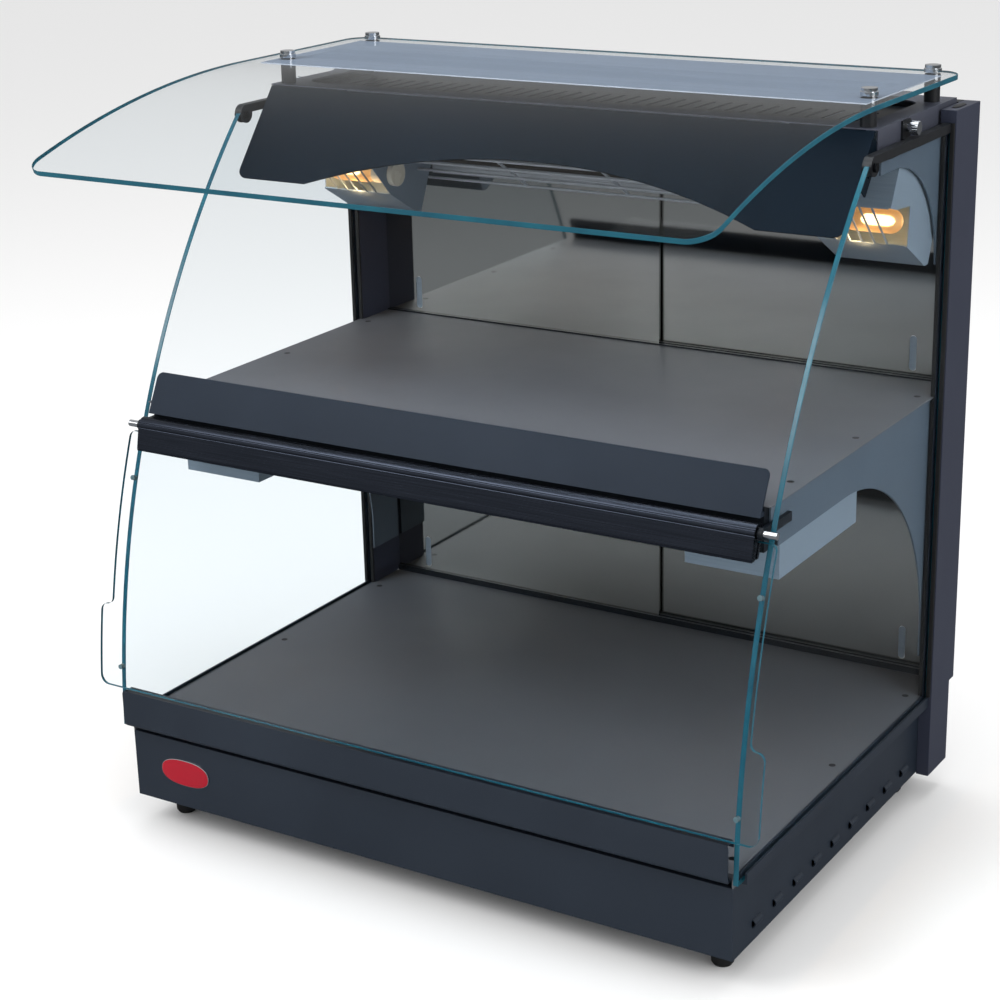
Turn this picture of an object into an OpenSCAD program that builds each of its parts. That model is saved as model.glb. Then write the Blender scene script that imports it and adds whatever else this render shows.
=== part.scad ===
// Countertop hot food display case: heated base deck, heated mid shelf, curved side
// glasses, flip-up front glass, mirrored sliding doors at the back, heated canopy with
// lamps and a bent top glass on standoffs.  Millimetres, +Z up, -Y towards the customer.
// The modules work in "case" coordinates: y = 0 is the front face of the base.

/* [Case] */
// Width of the base box
base_w = 808; // [700:2:1000]
// Depth of the base box
base_d = 574; // [560:1:590]
// Height of the rubber feet
foot_h = 34.5; // [25:0.5:40]
// Height of the base box
base_h = 86; // [80:1:92]
// Sheet metal thickness
sheet = 1.5; // [1:0.1:2]

/* [Levels] */
// Top of the lower deck above the counter
deck_z = 138; // [134:1:142]
// Top of the mid shelf above the counter
shelf_z = 518; // [500:1:530]
// Height of the mid shelf body
shelf_h = 51; // [45:1:55]
// Top of the canopy above the counter
canopy_z = 855.5; // [850:0.5:860]
// Top of the flat part of the top glass
top_glass_z = 888.5; // [880:0.5:896]

/* [Glass] */
// Thickness of the side and top glasses
glass_t = 6; // [5:0.5:8]
// Radius of the curved front edge of the side glasses
front_r = 1067; // [1060:1:1080]
// Thickness of the flip-up front glass
door_t = 4; // [3:0.5:5]
// Radius of the bend of the top glass
top_bend_r = 1192; // [1150:2:1250]

/* [Front door] */
// Height of the hinge rod
hinge_z = 494; // [490:1:496]
// Distance of the hinge rod behind the base front
hinge_y = 57; // [56:0.5:58]
// Diameter of the hinge rod
rod_d = 8; // [6:0.5:8]

/* [Doors and controls] */
// Thickness of each mirrored sliding door
slide_t = 4; // [3:0.5:5]
// Diameter of the thermostat knobs
knob_d = 34; // [28:1:40]
// Diameter of the hole through the cord gland
cord_bore = 9.4; // [8:0.2:11]

/* [Hidden] */
$fn = 64;

steel_black = "#242b35";
deck_grey = "#5d6167";
silver = "#8d99a6";

// case depth runs from the nose of the top glass to the back of the knobs
nose_y = -92;
knob_back_y = 598;
mid_y = (nose_y + knob_back_y) / 2;

half_w = base_w / 2;
base_z = foot_h;
base_top = base_z + base_h;

// side glasses stand just outside the base walls
glass_x = half_w + 3;
glass_bottom = deck_z - 9;
glass_top = 832;
arc_y = 1059;
arc_z = 94;

// rear columns: box tubes with a slot for the glass in the front face
col_in = half_w - 3;
col_out = half_w + 16;
col_y = 514;
col_back = 588;
col_bottom = 32.5;
col_top = 850.5;

// inner side plates stand between the shelf and the glass
plate_t = 2.5;
plate_x = col_in - 0.2 - plate_t;

shelf_bottom = shelf_z - shelf_h;
shelf_front = 74;
inner_back = 571;

// canopy
canopy_y = 337;
canopy_back = 571;
canopy_hw = 398;
fascia_low = [256, 755];
canopy_skirt = 832;
tray_hw = 372;
tray_ys = [368, 531];
tray_deep = 9;

// lamp housings
lamp_in = 292;
lamp_out = 396.3;
lamp_axis_up = [440, 736];
lamp_axis_low = [232, 444];
lamp_in_low = 284;
lamp_out_low = 392;
lamp_r = 14;

// front door
door_in_r = front_r + 6;
door_out_r = door_in_r + door_t;
door_hw = 421;
tab_hw = 438;
tab_z = 282;
door_bottom = 181.5;
door_top = hinge_z - 9;
clamp_hw = 400;

// sliding doors run in two grooves behind each other
groove_1 = 574.4;
groove_w = slide_t + 1.2;
groove_2 = groove_1 + groove_w + 1.8;
slide_w = 415;
slide_end = 400.4;

// standoffs of the top glass
post_x = 382;
post_ys = [352, 534];

// thumb screws through the canopy ends
thumb_y = 415;
thumb_z = 846;

// controls on the back
switch_xs = [120, 170];
knob_xs = [-20, 50];
control_z = 78;
switch_w = 19;
switch_h = 13;
gland_x = -300;
gland_z = 70;

// ---------- helpers ----------
module in_case() translate([0, -mid_y, 0]) children();
module both_sides() { children(); mirror([1, 0, 0]) children(); }
module left_side() mirror([1, 0, 0]) children();
module box(x0, x1, y0, y1, z0, z1) translate([x0, y0, z0]) cube([x1 - x0, y1 - y0, z1 - z0]);
// a (y, z) outline drawn out along X
module x_bar(x0, x1) translate([x0, 0, 0]) rotate([90, 0, 90]) linear_extrude(x1 - x0) children();
// an (x, z) outline drawn out along Y
module y_bar(y0, y1) translate([0, y1, 0]) rotate([90, 0, 0]) linear_extrude(y1 - y0) children();
// round bar along X, at y and z
module x_rod(x0, x1, y, z, d) translate([x0, y, z]) rotate([0, 90, 0]) cylinder(d = d, h = x1 - x0);
// round bar along Y, at x and z
module y_rod(y0, y1, x, z, d) translate([x, y0, z]) rotate([-90, 0, 0]) cylinder(d = d, h = y1 - y0);
module rounded_rect(x0, x1, y0, y1, r) {
  translate([x0 + r, y0]) square([x1 - x0 - 2 * r, y1 - y0]);
  translate([x0, y0 + r]) square([x1 - x0, y1 - y0 - 2 * r]);
  for (x = [x0 + r, x1 - r], y = [y0 + r, y1 - r]) translate([x, y]) circle(r);
}
// points of an arc, for outlines cut through curved glass
function arc(x, y, r, a0, a1, n = 9) = [for (i = [0:n]) let (a = a0 + (a1 - a0) * i / n) [x + r * cos(a), y + r * sin(a)]];
function mirrored(pts) = [for (i = [len(pts) - 1:-1:0]) [-pts[i][0], pts[i][1]]];
// disc of the curved front, as a (y, z) outline
module front_disc(r) translate([arc_y, arc_z]) circle(r, $fn = 900);
// y of the curved front at height z, for radius r
function front_y(z, r = front_r) = arc_y - sqrt(r * r - (z - arc_z) * (z - arc_z));
// countersunk screws that sit flush in a sheet whose top is at z = 0
screw_xs = [-388, 388];
deck_screw_ys = [30, 285, 505];
shelf_screw_ys = [155, 325, 505];
module deck_screw() {
  translate([0, 0, -sheet]) cylinder(d1 = 4, d2 = 8, h = sheet, $fn = 32);
  translate([0, 0, -7]) cylinder(d = 3.9, h = 7 - sheet / 2, $fn = 32);
}
module screw_hole() translate([0, 0, -sheet - 0.1]) cylinder(d1 = 4, d2 = 8.3, h = sheet + 0.2, $fn = 32);

// ---------- base ----------
module base_shell() in_case() color(steel_black) {
  vent_ys = [for (i = [0:8]) 48 + i * 51.5];
  difference() {
    union() {
      difference() {
        box(-half_w, half_w, 0, base_d, base_z, base_top);
        box(-half_w + sheet, half_w - sheet, sheet, base_d + 1, base_z - 1, base_top - sheet);
        box(-half_w + 16, half_w - 16, 16, base_d + 1, base_z, base_top + 1);
      }
      both_sides() for (y = vent_ys)
        intersection() {
          y_rod(y, y + 19, half_w - 1.5, base_z + 21, 11);
          box(half_w - sheet / 2, half_w + 5, y, y + 19, base_z, base_top);
        }
    }
    both_sides() for (y = vent_ys) y_rod(y - 1, y + 17.5, half_w - 1.5, base_z + 21, 8.4);
  }
}
module base_bottom() in_case() color(steel_black) difference() {
  box(-half_w + sheet + 0.2, half_w - sheet - 0.2, sheet + 0.2, base_d - 3, base_z, base_z + sheet);
  for (x = [-370, 370], y = [47, 520]) translate([x, y, base_z - 1]) cylinder(d = 6.4, h = 5);
  for (x = [-200:50:200]) box(x - 3, x + 3, 240, 330, base_z - 1, base_z + 5);
}
module rear_panel() in_case() color(steel_black) difference() {
  union() {
    box(-half_w + sheet + 0.2, half_w - sheet - 0.2, base_d - sheet, base_d, base_z, base_top - sheet - 0.2);
    box(-half_w + sheet + 0.2, half_w - sheet - 0.2, base_d - 14, base_d, base_top - sheet - 1.7, base_top - sheet - 0.2);
  }
  for (x = switch_xs) box(x - switch_w / 2, x + switch_w / 2, base_d - 5, base_d + 5,
    control_z - switch_h / 2, control_z + switch_h / 2);
  for (x = knob_xs) y_rod(base_d - 5, base_d + 5, x, control_z, 10);
  y_rod(base_d - 5, base_d + 5, gland_x, gland_z, 20);
  for (x = [-180:12:-96]) box(x - 2.5, x + 2.5, base_d - 5, base_d + 5, base_z + 20, base_z + 60);
}
module feet() in_case() color("#17181a") for (x = [-370, 370], y = [47, 520]) translate([x, y, 0])
  rotate_extrude($fn = 48) difference() {
    polygon([[0, 0], [10.5, 0], [12.5, 3], [14.5, foot_h], [0, foot_h]]);
    translate([-1, 18]) square([4.3, foot_h]);
    translate([-1, -1]) square([7.5, 12]);
    translate([-1, 10]) square([4.3, 30]);
  }
module foot_bolts() in_case() color(silver) for (x = [-370, 370], y = [47, 520]) translate([x, y, 0]) {
  translate([0, 0, 8]) cylinder(d = 11, h = 3);
  translate([0, 0, 10]) cylinder(d = 6, h = foot_h - 2);
  translate([0, 0, base_z + sheet + 0.05]) difference() {
    cylinder(d = 11.5, h = 5, $fn = 6);
    translate([0, 0, -1]) cylinder(d = 5.9, h = 8);
  }
}

// ---------- lower deck ----------
module lip_section(top, back) {
  // folded sheet: face, top return with a hem, rounded bottom return
  difference() {
    union() {
      translate([-15, 138]) square([back + 15, top - 138]);
      translate([-7, 130]) square([back + 7, 9]);
      translate([-7, 138]) circle(8);
    }
    union() {
      translate([-15 + sheet, 138]) square([back + 20, top - 138 - sheet]);
      translate([-7, 130 + sheet]) square([back + 20, 9]);
      translate([-7, 138]) circle(8 - sheet);
    }
  }
  translate([back - sheet, top - 8]) square([sheet, 8 - sheet / 2]);
}
module deck_lip() in_case() color("#2b333f") intersection() {
  x_bar(-404.7, 404.7) lip_section(178, 0);
  y_bar(-20, 5) union() {
    rounded_rect(-404.7, 404.7, 130, 178.5, 5);
    translate([-390, 130]) square([780, 10]);
  }
}
module lower_deck() in_case() color(deck_grey) difference() {
  union() {
    box(-half_w, half_w, 0, inner_back, deck_z - sheet, deck_z);
    both_sides() box(half_w - sheet, half_w, 0, 512, base_top, deck_z);
    box(-half_w, half_w, 0, sheet, 131.7, deck_z);
    box(-half_w, half_w, inner_back - sheet, inner_back, base_top, deck_z);
  }
  both_sides() box(col_in - 0.3, half_w + 1, col_y - 0.3, inner_back + 1, deck_z - 0.4, deck_z + 1);
  for (x = screw_xs, y = deck_screw_ys) translate([x, y, deck_z]) screw_hole();
}
module deck_heater() in_case() color("#b5651d") {
  box(-360, 360, 60, 520, deck_z - sheet - 3.2, deck_z - sheet - 0.1);
}
module glass_channels() in_case() color("#3a4049") both_sides() difference() {
  box(half_w, half_w + 12, 8, col_y, deck_z - 13.5, deck_z);
  box(glass_x - 0.15, glass_x + glass_t + 0.15, 0, col_y, glass_bottom - 0.15, deck_z + 1);
}

// ---------- side glasses ----------
module side_glass() in_case() color("#9fc7c9", 0.35) x_bar(glass_x, glass_x + glass_t) intersection() {
  front_disc(front_r);
  translate([-30, glass_bottom]) square([col_y + 8 + 30, glass_top - glass_bottom]);
}
module side_glass_right() side_glass();
module side_glass_left() left_side() side_glass();

// ---------- columns ----------
module column() in_case() color("#333a46") difference() {
  union() {
    box(col_in, col_out, col_y, col_back, deck_z + 0.2, col_top);
    box(half_w, col_out, col_y, base_d, col_bottom, deck_z + 1);
  }
  box(col_in + sheet, col_out - sheet, col_y + 9, col_back - sheet, deck_z + 2, col_top - sheet);
  box(half_w + sheet, col_out - sheet, col_y + sheet, base_d - sheet, col_bottom - 1, deck_z - 2);
  box(glass_x - 0.15, glass_x + glass_t + 0.15, col_y - 1, col_y + 8.2, glass_bottom - 0.15, glass_top + 0.3);
  // oval plug hole in the top
  translate([(col_in + col_out) / 2, 545, col_top - 5]) linear_extrude(10) rounded_rect(-4, 4, -16, 16, 3.9);
}
module column_right() column();
module column_left() left_side() column();

// ---------- inner side plates ----------
module gussets_upper() in_case() color(steel_black) both_sides() x_bar(plate_x, plate_x + plate_t) difference() {
  translate([341, 674]) square([inner_back - 341, 827 - 674]);
  translate([381, 675]) circle(131);
  translate([300, 600]) square([81, 206]);
  translate([300, 600]) square([212, 76]);
}
module gussets_lower() in_case() color(steel_black) both_sides() x_bar(plate_x, plate_x + plate_t) difference() {
  union() {
    translate([100, 467]) square([inner_back - 100, 48]);
    translate([270, 190]) square([inner_back - 270, 280]);
    translate([84, 480]) square([20, 35]);
  }
  translate([270, 225]) circle(242, $fn = 128);
  translate([200, 150]) square([70, 317]);
  translate([200, 150]) square([312, 75]);
}

// ---------- mid shelf ----------
module shelf_deck() in_case() color(deck_grey) difference() {
  box(-405.5, 405.5, shelf_front, inner_back, shelf_z - sheet, shelf_z);
  both_sides() box(col_in - 0.3, 410, col_y - 0.3, inner_back + 1, shelf_z - 5, shelf_z + 5);
  for (x = screw_xs, y = shelf_screw_ys) translate([x, y, shelf_z]) screw_hole();
}
module shelf_tray() in_case() color(steel_black) difference() {
  box(-398, 398, shelf_front, inner_back, shelf_bottom, shelf_z - sheet - 0.1);
  box(-398 + sheet, 398 - sheet, shelf_front + sheet, inner_back - sheet, shelf_bottom + sheet, shelf_z);
}
module shelf_heater() in_case() color("#b5651d")
  box(-360, 360, 110, 540, shelf_z - sheet - 3.3, shelf_z - sheet - 0.2);
module shelf_lip() in_case() color("#2b333f") intersection() {
  x_bar(-398, 398) difference() {
    polygon([[64, 507], [87, 552], [89.5, 552], [69, 512], [shelf_front, 512], [shelf_front, 507]]);
  }
  y_bar(40, 110) union() {
    rounded_rect(-398, 398, 507, 552, 7);
    translate([-398, 507]) square([796, 20]);
  }
}

// ---------- flip-up front door ----------
module hinge_brackets() in_case() color("#15181d") both_sides() difference() {
  x_bar(plate_x + plate_t, col_in + 4.5) {
    translate([hinge_y, hinge_z]) circle(6.5);
    translate([hinge_y, hinge_z - 5]) square([64, 10]);
  }
  x_rod(390, 420, hinge_y, hinge_z, rod_d);
}
module hinge_rod() in_case() color("#d8dbe0") x_rod(-421, 421, hinge_y, hinge_z, rod_d);
module clamp_section() {
  difference() {
    union() {
      translate([hinge_y, hinge_z]) circle(10.5);
      // jaws that grip the glass, and a skirt below
      polygon([[46.8, 496], [41.5, 470], [41.5, 467], [57.5, 467], [67.3, 490]]);
    }
    translate([hinge_y, hinge_z]) circle(rod_d / 2 + 0.08);
    // slot for the glass
    intersection() {
      difference() {
        front_disc(door_out_r + 0.05);
        front_disc(door_in_r - 0.05);
      }
      translate([30, 460]) square([40, door_top + 0.1 - 460]);
    }
    // grooves in the face
    for (a = [150, 180, 210]) translate([hinge_y + 11 * cos(a), hinge_z + 11 * sin(a)]) circle(1.2, $fn = 24);
  }
}
module door_clamp() in_case() color("#10141b") x_bar(-clamp_hw, clamp_hw) clamp_section();
// right half of the door's outline: bottom corner, tab's top corner, fillet, top corner
tab_r = 12;
fillet_r = 8;
tab_top_r = tab_hw - door_hw - fillet_r;
door_half = concat(
  arc(tab_hw - tab_r, door_bottom + tab_r, tab_r, -90, 0),
  arc(tab_hw - tab_top_r, tab_z - tab_top_r, tab_top_r, 0, 90),
  arc(door_hw + fillet_r, tab_z + fillet_r, fillet_r, 260, 180, 8),
  arc(door_hw - 7, door_top - 7, 7, 0, 90));
module front_door_glass() in_case() color("#b8d6d8", 0.3) intersection() {
  x_bar(-tab_hw, tab_hw) intersection() {
    difference() {
      front_disc(door_out_r);
      front_disc(door_in_r);
    }
    translate([-30, door_bottom - 2]) square([110, door_top - door_bottom + 4]);
  }
  y_bar(-40, 90) polygon(concat(door_half, mirrored(door_half)));
}
module door_bumpers() in_case() color("#dfe6e8") both_sides() for (z = [205, 430]) {
  slope = asin((z - arc_z) / (front_r + 3));
  translate([glass_x + glass_t / 2, front_y(z, front_r + 0.35), z]) rotate([90 - slope, 0, 0])
    cylinder(d = 6, h = 5.64, $fn = 32);
}

// ---------- canopy ----------
module canopy_shell() in_case() color("#7b828e") {
  difference() {
    union() {
      box(-canopy_hw, canopy_hw, canopy_y, canopy_back, canopy_z - sheet, canopy_z);
      both_sides() box(canopy_hw - sheet, canopy_hw, canopy_y + 4, inner_back, canopy_skirt, canopy_z);
      box(-canopy_hw, canopy_hw, canopy_back - sheet, canopy_back, 812, canopy_z);
    }
    translate([0, 0, canopy_z - 5]) linear_extrude(10) rounded_rect(-tray_hw, tray_hw, tray_ys[0], tray_ys[1], 24);
    both_sides() x_rod(380, 410, thumb_y, thumb_z, 5.16);
    for (x = [-post_x, post_x], y = post_ys) translate([x, y, canopy_z - 5]) cylinder(d = 6, h = 10);
  }
}
module canopy_tray() in_case() color("#20242c") translate([0, 0, canopy_z - tray_deep]) difference() {
  linear_extrude(tray_deep - sheet) rounded_rect(-tray_hw - 2, tray_hw + 2, tray_ys[0] - 2, tray_ys[1] + 2, 25);
  translate([0, 0, 1.2]) linear_extrude(20) rounded_rect(-tray_hw, tray_hw, tray_ys[0], tray_ys[1], 24);
  for (x = [-340:20:340]) translate([x, 420, -1]) linear_extrude(5) rounded_rect(-2.5, 2.5, 0, 60, 2.4);
}
// the fascia is drawn flat and then leant back to the canopy's front edge
fascia_len = norm([canopy_y - fascia_low[0], canopy_z - fascia_low[1]]);
fascia_lean = atan2(canopy_y - fascia_low[0], canopy_z - fascia_low[1]);
arch_half = 296;
arch_rise = 56;
arch_r = (arch_half * arch_half + arch_rise * arch_rise) / (2 * arch_rise);
module canopy_fascia() in_case() color("#202a33") translate([0, fascia_low[0], fascia_low[1]])
  rotate([-fascia_lean, 0, 0]) difference() {
    union() {
      y_bar(0, 2) difference() {
        union() {
          rounded_rect(-396.5, 396.5, 0, fascia_len - 2, 12);
          translate([-396.5, 60]) square([793, fascia_len - 62]);
        }
        translate([0, arch_rise - arch_r]) circle(arch_r, $fn = 360);
      }
      // end returns that bolt to the canopy ends
      both_sides() box(394.5, 396.5, 0, 22, 60, fascia_len - 8);
    }
    both_sides() x_rod(390, 400, 14, 80, 4.2);
  }
// the guard rods, the elements and the reflector lie in three parallel sloping planes
guard_start = [348, 820];
guard_end = [520, 718];
function slope_z(y, lift) = guard_start[1] + lift
  + (y - guard_start[0]) * (guard_end[1] - guard_start[1]) / (guard_end[0] - guard_start[0]);
module canopy_reflector() in_case() color(silver) x_bar(-lamp_in, lamp_in) {
  top = canopy_z - sheet;
  polygon([[348.8, top], [350, top], [350, slope_z(350, 24.4)], [530.6, slope_z(530.6, 24.4)], [530.6, 722],
    [529.4, 722], [529.4, slope_z(529.4, 23)], [348.8, slope_z(348.8, 23)]]);
}
module element_guard() in_case() color("#c9ced6") {
  for (i = [0:7]) {
    p = guard_start + (guard_end - guard_start) * i / 7;
    x_rod(-lamp_in, lamp_in, p[0], p[1], 3.6);
  }
  // cross bars behind the rods
  for (x = [-146, 0, 146]) translate([x, guard_start[0], guard_start[1] + 3])
    rotate([atan2(guard_end[1] - guard_start[1], guard_end[0] - guard_start[0]), 0, 0])
      y_rod(-4, norm(guard_end - guard_start) + 4, 0, 0, 3.6);
}
module heating_element() in_case() color("#6b6f76") for (y = [385, 435, 485]) {
  x_rod(-270, 270, y, slope_z(y, 12), 8);
  for (x = [-lamp_in, 269]) x_rod(x, x + lamp_in - 269, y, slope_z(y, 12), 11);
}

// ---------- lamps ----------
housing_top = canopy_z - tray_deep;
upper_outer = [[383, 762], [426, housing_top], [556, housing_top], [556, 800], [500, 677], [490, 677], [432, 711]];
upper_inner = [[360, 740], [384.2, 761.5], [426.8, housing_top - 1.2], [554.8, housing_top - 1.2], [554.8, 800.3],
  [499.2, 678.2], [490.3, 678.2], [432.6, 712], [420, 690]];
module lamp_wires(p, q, n, x0, x1) {
  d = q - p;
  for (i = [1:n]) translate([x0 + (x1 - x0) * i / (n + 1), p[0], p[1]])
    rotate([atan2(d[1], d[0]), 0, 0]) y_rod(0, norm(d), 0, 0, 2.4);
}
module lamp_housings_upper() in_case() color(silver) both_sides() {
  difference() {
    x_bar(lamp_in, lamp_out) polygon(upper_outer);
    x_bar(lamp_in + 1.2, lamp_out - 1.2) polygon(upper_inner);
    x_rod(lamp_in - 5, lamp_in + 5, lamp_axis_up[0], lamp_axis_up[1], 27);
    // window in the outer end, along the open front
    x_bar(lamp_out - 3, lamp_out + 1) polygon([[378, 764], [400, 758], [440, 755], [436, 712], [425, 700]]);
  }
  lamp_wires([384, 762], [432, 712], 5, lamp_in + 8, lamp_out - 8);
}
module lamp_housings_lower() in_case() color(silver) both_sides() {
  difference() {
    box(lamp_in_low, lamp_out_low, 122, 323, 421, shelf_bottom);
    box(lamp_in_low + 1.2, lamp_out_low - 1.2, 123.2, 321.8, 420, shelf_bottom - 1.2);
    x_rod(lamp_in_low - 5, lamp_in_low + 5, lamp_axis_low[0], lamp_axis_low[1], 27);
  }
  // turned-in front flange and guard wires
  box(lamp_in_low + 1, lamp_out_low - 1, 123, 131, 421, 422.2);
  for (i = [0:4]) x_rod(lamp_in_low + 0.6, lamp_out_low - 0.6, 152 + i * 38, 423, 2.4);
}
module lamp_sockets() in_case() color("#e6e0d2") both_sides() {
  lamp_socket(lamp_in, lamp_axis_up);
  lamp_socket(lamp_in_low, lamp_axis_low);
}
module lamp_socket(x, a) difference() {
  union() {
    x_rod(x - 6, x + 26, a[0], a[1], 26);
    x_rod(x - 7.5, x - 0.2, a[0], a[1], 31);
  }
  x_rod(x + 6, x + 27, a[0], a[1], 22);
}
module lamp_bulb(x, a) translate([x, a[0], a[1]]) rotate([0, 90, 0]) rotate_extrude($fn = 48)
  union() {
    translate([0, 6.5]) square([10.5, 20]);
    polygon([[0, 26], [10.5, 26], [lamp_r, 36], [lamp_r, 82], [0, 82]]);
    intersection() {
      translate([0, 82]) circle(lamp_r);
      translate([0, 81]) square([20, 20]);
    }
  }
module lamp_bulbs() in_case() color("#ffd27f") both_sides() {
  lamp_bulb(lamp_in, lamp_axis_up);
  lamp_bulb(lamp_in_low, lamp_axis_low);
}

// ---------- top glass ----------
bend_y = 298;
glass_back = 548;
top_hw = 415;
nose_r = 28;
// right half of the top glass's outline, from nose to back
top_half = concat(
  arc(top_hw - nose_r, nose_y + nose_r, nose_r, -90, 0),
  arc(top_hw - nose_r, glass_back - nose_r, nose_r, 0, 90));
module top_glass() in_case() color("#b5cfd6", 0.35) difference() {
  intersection() {
    x_bar(-top_hw, top_hw) union() {
      translate([bend_y, top_glass_z - glass_t]) square([glass_back + 10 - bend_y, glass_t]);
      intersection() {
        difference() {
          translate([bend_y, top_glass_z - top_bend_r]) circle(top_bend_r, $fn = 1080);
          translate([bend_y, top_glass_z - top_bend_r]) circle(top_bend_r - glass_t, $fn = 1080);
        }
        translate([nose_y - 10, top_glass_z - 200]) square([bend_y - nose_y + 10, 200]);
      }
    }
    translate([0, 0, top_glass_z - 200]) linear_extrude(210) polygon(concat(top_half, mirrored(top_half)));
  }
  for (x = [-post_x, post_x], y = post_ys) translate([x, y, top_glass_z - 20]) cylinder(d = 10, h = 40);
}
module top_panel() in_case() color("#8f98a6") difference() {
  box(-395, 395, 314, 526, top_glass_z - glass_t - 1.3, top_glass_z - glass_t);
  for (x = [-post_x, post_x], y = post_ys) translate([x, y, top_glass_z - 20]) cylinder(d = 19, h = 40);
}
module standoff_posts() in_case() color("#15181d") for (x = [-post_x, post_x], y = post_ys) {
  translate([x, y, canopy_z]) difference() {
    cylinder(d = 18, h = top_glass_z - glass_t - canopy_z);
    translate([0, 0, -1]) cylinder(d = 6, h = 60);
  }
}
module standoff_caps() in_case() color("#d8dbe0") for (x = [-post_x, post_x], y = post_ys)
  translate([x, y, top_glass_z]) {
    cylinder(d = 20, h = 4);
    translate([0, 0, 4]) cylinder(d = 16, h = 1.2);
    translate([0, 0, 5]) cylinder(d = 18, h = 3);
    translate([0, 0, -20]) cylinder(d = 5.95, h = 21);
  }

// ---------- glass clips and thumb screws ----------
module glass_clips() in_case() color("#15181d") both_sides() difference() {
  union() {
    box(glass_x - 2, glass_x + glass_t + 2, 292, col_y - 0.4, glass_top - 6, glass_top + 4);
    x_bar(glass_x - 2, glass_x + glass_t + 2) translate([294, glass_top - 7]) circle(11);
    // ear that the thumb screw clamps to the canopy end
    box(canopy_hw, glass_x - 1, thumb_y - 11, thumb_y + 11, canopy_skirt, canopy_skirt + 3);
    box(canopy_hw, canopy_hw + 2.4, thumb_y - 11, thumb_y + 11, canopy_skirt, canopy_z - 1.5);
  }
  x_bar(glass_x - 0.1, glass_x + glass_t + 0.1) intersection() {
    front_disc(front_r + 0.1);
    translate([200, 700]) square([400, glass_top + 0.1 - 700]);
  }
  x_rod(canopy_hw, canopy_hw + 9, thumb_y, thumb_z, 5.16);
}
module clip_bolts() in_case() color("#c8ccd2") both_sides() {
  x_rod(glass_x + glass_t + 2.05, glass_x + glass_t + 5.5, 292, glass_top - 8, 10);
  x_rod(glass_x - 4.5, glass_x - 2.05, 292, glass_top - 8, 9);
}
module thumb_screw() in_case() color("#d8dbe0") difference() {
  union() {
    x_rod(canopy_hw - 12, canopy_hw + 6, thumb_y, thumb_z, 5);
    x_rod(canopy_hw + 2.5, canopy_hw + 8, thumb_y, thumb_z, 9);
    x_rod(canopy_hw + 8, canopy_hw + 17, thumb_y, thumb_z, 15);
  }
  for (a = [0:20:340]) translate([canopy_hw + 7, thumb_y + 8 * cos(a), thumb_z + 8 * sin(a)])
    rotate([0, 90, 0]) cylinder(d = 1.8, h = 12, $fn = 16);
}
module thumb_screw_right() thumb_screw();
module thumb_screw_left() left_side() thumb_screw();

// ---------- rear frame and sliding doors ----------
module grooves(up) {
  // the two door grooves, cut from a 9 high rail; up = +1 opens upwards, -1 downwards
  for (g = [groove_1, groove_2]) translate([g, up > 0 ? 2 : -1]) square([groove_w, 8]);
}
module rear_sill() in_case() color(steel_black) x_bar(-col_in + 0.4, col_in - 0.4) difference() {
  union() {
    translate([inner_back, base_top + 0.2]) square([col_back - inner_back, deck_z - base_top]);
    translate([inner_back, deck_z]) square([col_back - inner_back, 8]);
  }
  translate([0, deck_z]) grooves(1);
  translate([base_d + 1, base_top + 2]) square([col_back - base_d - 2.5, deck_z - base_top - 4]);
}
module rear_midrail() in_case() color(steel_black) x_bar(-col_in + 0.4, col_in - 0.4) difference() {
  translate([inner_back, shelf_bottom - 8]) square([col_back - inner_back, shelf_h + 10]);
  translate([0, shelf_bottom - 8]) grooves(-1);
  translate([0, shelf_z - 6]) grooves(1);
  translate([inner_back + 2, shelf_bottom + 3]) square([col_back - inner_back - 3.5, shelf_h - 13]);
}
header_bottom = 800;
module rear_header() in_case() color(steel_black) x_bar(-col_in + 0.4, col_in - 0.4) difference() {
  translate([inner_back, header_bottom]) square([col_back - inner_back, col_top - header_bottom]);
  translate([0, header_bottom]) grooves(-1);
  translate([inner_back + 2, header_bottom + 11]) square([col_back - inner_back - 3.5, col_top - header_bottom - 12.5]);
}
module sliding_door(x_end, groove, z0, z1) {
  // x_end is the outer end; the finger slot is near it
  y0 = groove + 0.6;
  s = x_end > 0 ? 1 : -1;
  difference() {
    y_bar(y0, y0 + slide_t) translate([s > 0 ? x_end - slide_w : x_end, z0]) square([slide_w, z1 - z0]);
    y_bar(y0 - 1, y0 + slide_t + 1) rounded_rect(s * 351 - 4.5, s * 351 + 4.5, z0 + 10, z0 + 54, 4.4);
  }
}
lower_z = [deck_z + 2.4, shelf_bottom - 2.6];
upper_z = [shelf_z - 3.6, header_bottom + 5.4];
module door_upper_left() in_case() color("#aeb4ba") sliding_door(-slide_end, groove_1, upper_z[0], upper_z[1]);
module door_upper_right() in_case() color("#aeb4ba") sliding_door(slide_end, groove_2, upper_z[0], upper_z[1]);
module door_lower_left() in_case() color("#aeb4ba") sliding_door(-slide_end, groove_1, lower_z[0], lower_z[1]);
module door_lower_right() in_case() color("#aeb4ba") sliding_door(slide_end, groove_2, lower_z[0], lower_z[1]);

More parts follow.
